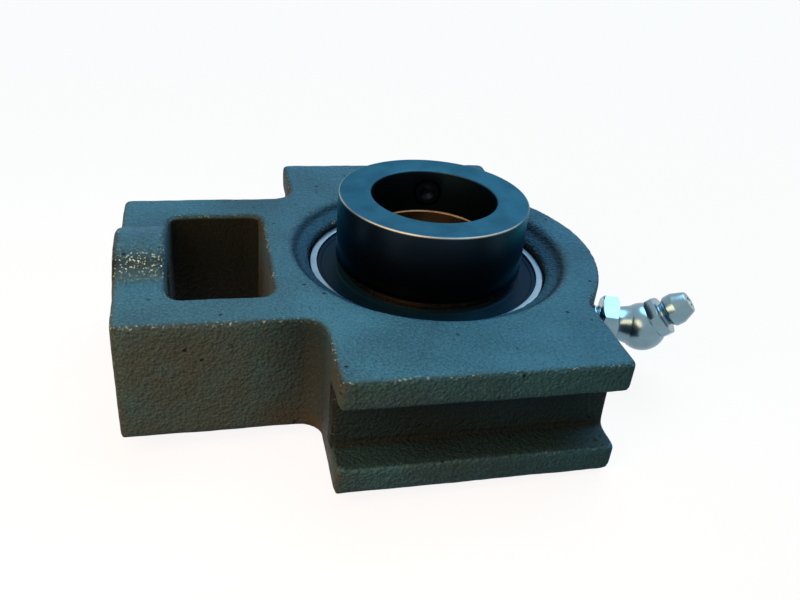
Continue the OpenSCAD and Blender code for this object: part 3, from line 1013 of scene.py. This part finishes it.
@dataclass
class BearingInsert:
    """The self-aligning ball insert: rings, seals, balls and cage."""

    ring_r: float = 26.0
    ring_half: float = 8.0
    face_r: float = 24.11
    edge_half: float = 7.1
    edge_free: float = 1.0
    seal_r: float = 22.81
    seal_seat: float = 6.3
    outer_shoulder: float = 22.0
    inner_shoulder: float = 17.0
    pitch_r: float = 19.5
    track_r: float = 4.0
    bore_r: float = 12.5
    back: float = -7.5
    front: float = 14.4
    shoulder_front: float = 8.9
    cam_r: float = 15.3
    cam_offset: float = 0.8
    cam_az: float = 260.0
    chamfer: float = 0.4
    chamfer_past: float = 0.05
    back_chamfer: float = 0.5
    seal_top: float = 7.4
    seal_t: float = 0.6
    seal_clr: float = 0.02
    bead_w: float = 0.75
    bead_slope: float = 0.2
    dish: float = 0.22
    lip: float = 17.04
    lip_w: float = 0.5
    lip_drop: float = 0.8
    lip_root: float = 1.16
    root_drop: float = 0.25
    ridge_in: float = 0.8
    ridge_out: float = 1.7
    ridge_slope: float = 0.4
    balls: int = 9

    def build(self) -> None:
        """Builds and dresses the rings and seals, and dresses what stays as CAD."""
        self.outer_ring()
        self.inner_ring()
        self.seal("seal_face_top", 1.0, "seal_rubber_top")
        self.seal("seal_face_bottom", -1.0, "seal_rubber_bottom")
        for k in range(1, self.balls + 1):
            dress_node(f"ball_{k}", LAPPED_STEEL)
        for node in ("cage_top", "cage_bottom", "cage_rivets", "seal_core_top", "seal_core_bottom"):
            dress_node(node, PRESSED_SHEET)
        dress_node("locating_pin", GROUND_STEEL)

    def track(self, shoulder: float, start: float, end: float) -> Outline:
        """Gives the outline of a ball track between two shoulders.

        Args:
            shoulder: Radius of the shoulders.
            start: Sign of the first shoulder's height.
            end: Sign of the last shoulder's height.

        Returns:
            The points of the track.
        """
        across = shoulder - self.pitch_r
        rise = math.degrees(math.asin(math.sqrt(self.track_r**2 - across**2) / self.track_r))
        angles = [180 - sign * rise if across < 0 else sign * rise for sign in (start, end)]
        return arc((self.pitch_r, 0), self.track_r, *angles, 24)

    def outer_ring(self) -> None:
        """Builds the ring with the spherical outside and its polished face."""
        edge = math.degrees(math.asin(self.edge_half / self.ring_r))
        top: list[Corner] = [
            (self.ring_r * math.cos(math.radians(edge)), self.edge_half, 0.35),
            (self.face_r, self.ring_half, 0.25),
            (self.seal_r, self.ring_half, 0.18),
            (self.seal_r, self.seal_seat, 0.1),
            (self.outer_shoulder, self.seal_seat, 0.15),
        ]
        under = [(r, -z, c) for r, z, c in reversed(top)]
        outline = rounded([*top, *under])
        middle = len(outline) // 2
        points = outline[:middle] + self.track(self.outer_shoulder, 1, -1) + outline[middle:]
        points += arc((0, 0), self.ring_r, self.edge_free - edge, edge - self.edge_free, 40)
        ring = piece_of("outer_ring_ground", lathe(points, 192))
        shade_round(ring)
        dress(ring, GROUND_STEEL, "outer_ring", "outer_ring")

    def inner_ring(self) -> None:
        """Builds the ring with its ball track and the cam that carries the collar."""
        wide, mid = self.inner_shoulder, (self.inner_shoulder, 0, 0)
        edge, corner = self.back + self.back_chamfer, self.bore_r + self.back_chamfer
        foot = rounded([(self.bore_r, edge, 0.12), (corner, self.back, 0.12), (wide, self.back, 0.4), mid])
        head = rounded([mid, (wide, self.shoulder_front, 0.3), (self.bore_r, self.shoulder_front, 0)])
        points = foot[:-1] + self.track(wide, -1, 1) + head[1:]
        ring = piece_of("inner_ring_ground", lathe(points, 192))
        root, front = self.shoulder_front - OVER / 2, self.front
        cam = rounded([(0, root, 0), (self.cam_r, root, 0), (self.cam_r, front, 0.3), (0, front, 0)])
        work_on(ring, Cut.JOIN, lathe(cam, 192), rotated(self.cam_az) @ moved(self.cam_offset, 0))
        mouth, low, high = self.bore_r + self.chamfer, self.back - OVER, front + OVER
        bore = rounded(
            [
                (0, low, 0),
                (self.bore_r, low, 0),
                (self.bore_r, front - self.chamfer + self.chamfer_past, 0.15),
                (mouth, front + self.chamfer_past, 0),
                (mouth, high, 0),
                (0, high, 0),
            ]
        )
        work_on(ring, Cut.TAKE_AWAY, lathe(bore, 192))
        shade_round(ring, 30)
        dress(ring, OILED_STEEL_WARM_REFLECTION, "inner_ring", "inner_ring")

    def seal(self, name: str, side: float, node: str) -> None:
        """Builds one moulded seal with a bead at its rim and a groove by its lip.

        Args:
            name: Name of the piece.
            side: 1 for the collar side, -1 for the other.
            node: CAD node that it replaces.
        """
        top, under = self.seal_top, self.seal_top - self.seal_t
        lip, root, rim = self.lip, self.lip + self.lip_root, self.seal_r - self.seal_clr
        bead, ridge = self.seal_r - self.bead_w, self.lip + self.ridge_out
        corners: list[Corner] = [
            (lip, under - self.lip_drop, 0.05),
            (lip + self.lip_w, under - self.lip_drop, 0.1),
            (root, under - self.root_drop, 0.1),
            (root, under, 0),
            (rim, under, 0.05),
            (rim, top, 0.12),
            (bead, top, 0.1),
            (bead - self.bead_slope, top - self.dish, 0.1),
            (ridge + self.ridge_slope, top - self.dish, 0.15),
            (ridge, top, 0.15),
            (lip + self.ridge_in, top, 0.2),
            (lip, top - self.bead_slope, 0.1),
        ]
        face = piece_of(name, lathe([(r, side * z) for r, z in rounded(corners, 4)], 160))
        shade_round(face, 45)
        dress(face, RUBBER, "outer_ring", node)


@dataclass
class LockingCollar:
    """The eccentric locking collar and its set screw."""

    outer_r: float = 19.05
    bore_r: float = 12.6
    foot: float = 9.2
    top: float = 23.5
    edge: float = 0.4
    foot_edge: float = 1.0
    wear_glint_mm: float = 9.0
    rim_in: float = 0.1
    rim_w: float = 0.22
    foot_in: float = 0.3
    foot_w: float = 0.5
    bore_skin: float = 0.5
    recess_r: float = 15.35
    recess_top: float = 14.5
    cam_offset: float = 0.8
    cam_az: float = 260.0
    screw_r: float = 3.0
    screw_az: float = 80.0
    screw_z: float = 18.45
    screw_in: float = 12.8
    screw_len: float = 6.0
    screw_clr: float = 0.02
    hole_foot: float = 11.0
    sink: float = 0.5
    sink_past: float = 0.48
    pitch: float = 1.0
    thread_depth: float = 0.55
    cup_r: float = 1.6
    cup_floor: float = 0.6
    key: float = 3.0
    key_depth: float = 3.0
    key_chamfer: float = 0.05
    drift_az: float = 150.0
    drift_r: float = 3.0
    drift_depth: float = 3.5

    def radial(self, azimuth: float) -> Matrix:
        """Turns +Z outwards from the shaft at the height of the set screw, at an azimuth in degrees."""
        return moved(0, self.screw_z) @ rotated(azimuth) @ rotated(90, "Y")

    def build(self) -> None:
        """Builds and dresses the collar and its set screw."""
        ring = rounded(
            [
                (self.bore_r, self.foot, 0.3),
                (self.outer_r, self.foot, self.foot_edge),
                (self.outer_r, self.top, self.edge),
                (self.bore_r, self.top, self.edge),
            ],
            6,
        )
        collar = piece_of("collar_turned", lathe(ring, 224))
        turn = rotated(self.cam_az) @ moved(self.cam_offset, 0)
        recess = disc(self.recess_r, self.foot - OVER, self.recess_top)
        work_on(collar, Cut.TAKE_AWAY, lathe(recess, 224), turn)
        wide, out = self.screw_r + self.screw_clr, self.outer_r + self.sink_past
        mouth = [(wide, self.outer_r - self.sink), (wide + self.sink + self.sink_past, out)]
        hole = [(0, self.hole_foot), (wide, self.hole_foot), *mouth, (0, out)]
        work_on(collar, Cut.TAKE_AWAY, lathe(hole, 64), self.radial(self.screw_az))
        drift = disc(self.drift_r, self.outer_r - self.drift_depth, self.outer_r + OVER)
        work_on(collar, Cut.TAKE_AWAY, lathe(drift, 64), self.radial(self.drift_az))
        shade_round(collar, 30)
        self.store_marks(collar.data)
        dress(collar, BLACK_OXIDE, "collar", "locking_collar")
        self.set_screw()

    def store_marks(self, mesh: Mesh) -> None:
        """Stores where the sides are polished and painted darker, and where the outer edges are rubbed and
        painted bright.

        Args:
            mesh: The mesh of the collar.
        """
        x, y, z = points_of(mesh).T / MM
        away = np.hypot(x, y)
        side = self.outer_r - away
        sides = np.clip((self.top - self.rim_in - z) / self.edge, 0, 1)
        top = np.clip(1 - np.hypot(side - self.rim_in, self.top - z - self.rim_in) / self.rim_w, 0, 1)
        foot = np.clip(1 - np.hypot(side - self.foot_in, z - self.foot - self.foot_in) / self.foot_w, 0, 1)
        patchy = np.array([0.5 + noise.noise(Vector(p) / self.wear_glint_mm) for p in zip(x, y, z)])
        # Painted shade: the sides are painted near black and the bore a little less, as if they mirrored dark
        # surroundings; the same mark polishes them
        store_mark(mesh, "side_shade_and_polish", sides * np.where(away < self.bore_r + self.bore_skin, 0.85, 1))
        # Rubbed top and foot edges, partly wear and partly a painted highlight of the warm lamp, in patches
        store_mark(mesh, "wear_and_glint", (0.65 * top + 0.3 * foot) * np.clip(patchy, 0, 1))

    def set_screw(self) -> None:
        """Builds the threaded set screw with its hexagon socket and cup point."""
        rod = threaded_rod(self.screw_r, self.pitch, self.screw_len, self.thread_depth)
        screw = piece_of("set_screw_threaded", rod)
        floor, out = self.screw_len - self.key_depth, self.screw_len + OVER
        socket = hexagon(self.key, floor, out, self.key_chamfer)
        work_on(screw, Cut.TAKE_AWAY, socket)
        deep = self.cup_floor
        cup = [(0, -OVER / 2), (self.cup_r, -OVER / 2), (self.cup_r, 0), (deep, deep), (0, deep)]
        work_on(screw, Cut.TAKE_AWAY, lathe(cup, 48))
        screw.data.transform(self.radial(self.screw_az) @ moved(0, self.screw_in))
        shade_round(screw, 30)
        dress(screw, DRY_OXIDE, "set_screw", "collar_set_screw")


@dataclass
class GreaseNipple:
    """The angled grease nipple: threaded elbow, pressed-in head, check ball and spring."""

    azimuth: float = -20.0
    bend: float = 45.0
    roll: float = 95.0
    thread_r: float = 3.2
    pitch: float = 1.0
    thread_depth: float = 0.5
    root: float = 29.5
    rod_sunk: float = 0.6
    hex_foot: float = 37.4
    hex_top: float = 40.6
    hex_flats: float = 10.0
    hex_turn: float = 51.0
    hex_chamfer: float = 0.35
    sunk: float = 0.4
    blend_w: float = 0.35
    body_neck_r: float = 3.4
    flare_w: float = 0.3
    flare_h: float = 0.25
    ball_r: float = 5.0
    ball_at: float = 46.3
    ball_from: float = -37.0
    elbow_edge: float = 0.1
    head_edge: float = 0.08
    seat: float = 3.0
    seat_clear_r: float = 9.0
    seat_clear_top: float = 12.0
    head_flats: float = 8.0
    head_hex_t: float = 2.2
    head_r: float = 3.3
    neck_r: float = 2.375
    neck_low: float = 0.1
    neck_high: float = 0.5
    knob_low: float = 1.4
    knob_high: float = 3.1
    tip_r: float = 2.2
    head_h: float = 5.8
    mouth_r: float = 0.96
    valve_r: float = 1.22
    valve_at: float = 9.76
    valve_clr: float = 0.08
    valve_rise: float = 0.24
    land_rise: float = 0.75
    duct_r: float = 0.8
    coil_r: float = 1.03
    wire_r: float = 0.15
    coil_foot: float = 4.75
    coil_top: float = 8.86
    coil_turns: int = 4

    @property
    def thread(self) -> Matrix:
        """Turns +Z to the direction of the thread."""
        return rotated(self.azimuth) @ rotated(90, "Y")

    @property
    def head(self) -> Matrix:
        """Turns +Z to the direction of the head, from the middle of the elbow."""
        out = rotated(self.azimuth) @ moved(self.ball_at, 0)
        return out @ rotated(self.roll - 90, "X") @ rotated(90 - self.bend, "Y")

    def build(self) -> None:
        """Builds and dresses the elbow and the head, and dresses the valve inside."""
        self.elbow()
        self.pressed_head()
        self.check_spring()
        dress_node("nipple_check_ball", LAPPED_STEEL)

    def elbow(self) -> None:
        """Builds the threaded elbow with its hexagon and round body."""
        length = self.hex_foot - self.root + self.rod_sunk
        rod = threaded_rod(self.thread_r, self.pitch, length, self.thread_depth)
        elbow = piece_of("nipple_elbow_turned", rod, self.thread @ moved(0, self.root))
        nut = hexagon(self.hex_flats, self.hex_foot, self.hex_top, self.hex_chamfer)
        work_on(elbow, Cut.JOIN, nut, self.thread @ rotated(self.hex_turn))
        low, neck = self.hex_top - self.sunk, self.body_neck_r
        body: Outline = [(0, low), (neck + self.blend_w, low), (neck + self.flare_w, self.hex_top)]
        body += [(neck, self.hex_top + self.flare_h)]
        body += arc((0, self.ball_at), self.ball_r, self.ball_from, 90, 40)
        work_on(elbow, Cut.JOIN, lathe(body, 96), self.thread)
        room = disc(self.seat_clear_r, self.seat, self.seat_clear_top)
        work_on(elbow, Cut.TAKE_AWAY, lathe(room, 64), self.head)
        soften_edges(elbow, self.elbow_edge)
        shade_round(elbow, 40)
        dress(elbow, ZINC_PLATE, "housing", "nipple_elbow")

    def pressed_head(self) -> None:
        """Builds the head with its own hexagon, gripping groove and ball mouth."""
        foot = self.seat + self.head_hex_t
        tip = foot + self.head_h
        nut = hexagon(self.head_flats, self.seat, foot, self.hex_chamfer)
        head = piece_of("nipple_head_turned", nut, self.head @ rotated(self.hex_turn))
        profile = rounded(
            [
                (0, foot - self.sunk, 0),
                (self.neck_r + self.blend_w, foot - self.sunk, 0),
                (self.neck_r, foot + self.neck_low, 0.1),
                (self.neck_r, foot + self.neck_high, 0.3),
                (self.head_r, foot + self.knob_low, 0.8),
                (self.head_r, foot + self.knob_high, 1.2),
                (self.tip_r, tip, 0.5),
                (0, tip, 0),
            ]
        )
        work_on(head, Cut.JOIN, lathe(profile, 96), self.head)
        low, floor, high = self.seat - OVER / 2, self.coil_foot - self.wire_r, tip + OVER
        bore = self.valve_r + self.valve_clr
        room = [(0, low), (self.duct_r, low), (self.duct_r, floor), (bore, floor)]
        room += [(bore, self.valve_at + self.valve_rise), (self.mouth_r, self.valve_at + self.land_rise)]
        room += [(self.mouth_r, high), (0, high)]
        work_on(head, Cut.TAKE_AWAY, lathe(room, 48), self.head)
        soften_edges(head, self.head_edge)
        shade_round(head, 40)
        dress(head, ZINC_PLATE, "housing", "nipple_head")

    def check_spring(self) -> None:
        """Builds the check spring, which stands in the head under the check ball."""
        wire = coil(self.coil_r, self.wire_r, self.coil_foot, self.coil_top, self.coil_turns)
        spring = piece_of("nipple_spring_coiled", wire, self.head)
        shade_round(spring, 60)
        spring.data.materials.append(DRAWN_WIRE.material())
        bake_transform(spring)
        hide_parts("nipple_spring")
        LOG.info("%s: %d faces in %s", spring.name, len(wire.polygons), DRAWN_WIRE.name)


# Studio


@dataclass
class Studio:
    """A plain pale floor, a cool soft light above, a warm soft lamp at the left, a sky and the camera."""

    lens: float = 37.204
    sensor: float = 36.0
    eye: tuple[float, float, float] = (-45.37, -145.53, 88.86)
    look: tuple[float, float, float] = (0.2301, 0.8289, -0.5099)
    up: tuple[float, float, float] = (0.0424, 0.5150, 0.8562)
    floor_half: float = 6000.0
    boss_low: tuple[float, float] = (-57.0, -16.0)
    end_low: tuple[float, float] = (35.0, -12.0)
    floor_seen: str = "#fff4e8"
    floor_bounce: str = "#4a3f33"
    key_from: tuple[float, float, float] = (0.32, 0.32, 0.89)
    key_colour: str = "#bce8ff"
    key_level: float = 3.2
    key_spread: float = 52.0
    lamp_at: tuple[float, float, float] = (-104.0, -92.0, 88.0)
    lamp_aim: tuple[float, float, float] = (-35.0, -15.0, 5.0)
    lamp_colour: str = "#ffc890"
    lamp_power: float = 0.31
    lamp_size: float = 150.0
    sky: str = "#c4d6e4"
    sky_level: float = 0.07
    floor_glow: float = 0.9

    def build(self) -> None:
        """Builds the whole studio."""
        self.floor()
        self.key()
        self.warm_lamp()
        self.surroundings()
        self.camera()
        bpy.context.scene.view_settings.view_transform = "Standard"

    def seen(self, tree: NodeTree) -> NodeSocket:
        """Gives 1 for rays from the camera, from gloss and through glass.

        Args:
            tree: The node tree to add to.

        Returns:
            The socket with the answer.
        """
        path = add_node(tree, "ShaderNodeLightPath").outputs
        seen = path["Is Camera Ray"]
        for ray in ("Is Glossy Ray", "Is Transmission Ray"):
            seen = add_node(tree, "ShaderNodeMath", {0: seen, 1: path[ray]}, operation="MAXIMUM").outputs[0]
        return seen

    def floor(self) -> None:
        """Lays the floor under the screw boss and the round end, on which the unit rests."""
        (x0, z0), (x1, z1) = self.boss_low, self.end_low
        slope, half = (z1 - z0) / (x1 - x0), self.floor_half
        plan = ((-half, -half), (half, -half), (half, half), (-half, half))
        points = [(x, y, z0 + (x - x0) * slope) for x, y in plan]
        ground = piece_of("floor", tidy_mesh(points, [(0, 1, 2, 3)]))
        paper = bpy.data.materials.new("matt_white_paper")
        tree = fresh_tree(paper)
        seen = self.seen(tree)
        inputs = {0: seen, 6: linear(self.floor_bounce), 7: linear(self.floor_seen)}
        tone = add_node(tree, "ShaderNodeMix", inputs, data_type="RGBA").outputs[2]
        matt = add_node(tree, "ShaderNodeBsdfDiffuse", {"Color": tone}).outputs[0]
        glow = add_node(tree, "ShaderNodeEmission", {"Color": linear(WHITE), "Strength": 1.0}).outputs[0]
        share = add_node(tree, "ShaderNodeMath", {0: seen, 1: self.floor_glow}, operation="MULTIPLY")
        both = add_node(tree, "ShaderNodeMixShader", {0: share.outputs[0], 1: matt, 2: glow})
        add_node(tree, "ShaderNodeOutputMaterial", {"Surface": both.outputs[0]})
        ground.data.materials.append(paper)

    def key(self) -> None:
        """Hangs the far soft light above the unit."""
        light = bpy.data.lights.new("key", "SUN")
        light.energy, light.angle = self.key_level, math.radians(self.key_spread)
        light.color = linear(self.key_colour)[:3]
        show("key", light).rotation_euler = Vector(self.key_from).to_track_quat("Z", "Y").to_euler()

    def warm_lamp(self) -> None:
        """Stands a round soft lamp near the screw end, so that its light falls off along the unit."""
        light = bpy.data.lights.new("warm_lamp", "AREA")
        light.shape, light.size, light.energy = "DISK", self.lamp_size * MM, self.lamp_power
        light.color = linear(self.lamp_colour)[:3]
        made = show("warm_lamp", light)
        made.location = Vector(self.lamp_at) * MM
        away = Vector(self.lamp_at) - Vector(self.lamp_aim)
        made.rotation_euler = away.to_track_quat("Z", "Y").to_euler()
        made.visible_camera = False

    def surroundings(self) -> None:
        """Sets a white backdrop that gloss also shows, and a dim even sky for the rest."""
        world = bpy.data.worlds.new("backdrop")
        bpy.context.scene.world = world
        tree = fresh_tree(world)
        dim, white = (
            add_node(tree, "ShaderNodeBackground", {"Color": linear(tone), "Strength": level}).outputs[0]
            for tone, level in ((self.sky, self.sky_level), (WHITE, 1.0))
        )
        both = add_node(tree, "ShaderNodeMixShader", {0: self.seen(tree), 1: dim, 2: white})
        add_node(tree, "ShaderNodeOutputWorld", {"Surface": both.outputs[0]})

    def camera(self) -> None:
        """Sets the camera at the photograph's viewing angle."""
        data = bpy.data.cameras.new("camera")
        data.lens, data.sensor_width, data.sensor_fit = self.lens, self.sensor, "HORIZONTAL"
        data.clip_start, data.clip_end = 0.005, 50.0
        made = show("camera", data)
        back, up = -Vector(self.look).normalized(), Vector(self.up)
        right = up.cross(back).normalized()
        turn = Matrix((right, back.cross(right), back)).transposed()
        made.matrix_world = Matrix.Translation(Vector(self.eye) * MM) @ turn.to_4x4()
        bpy.context.scene.camera = made


def main() -> None:
    """Builds the unit and the studio."""
    logging.basicConfig(level=logging.INFO, format="%(name)s: %(message)s")
    for part in (HousingCasting(), BearingInsert(), LockingCollar(), GreaseNipple(), Studio()):
        part.build()


if __name__ == "__main__":
    main()
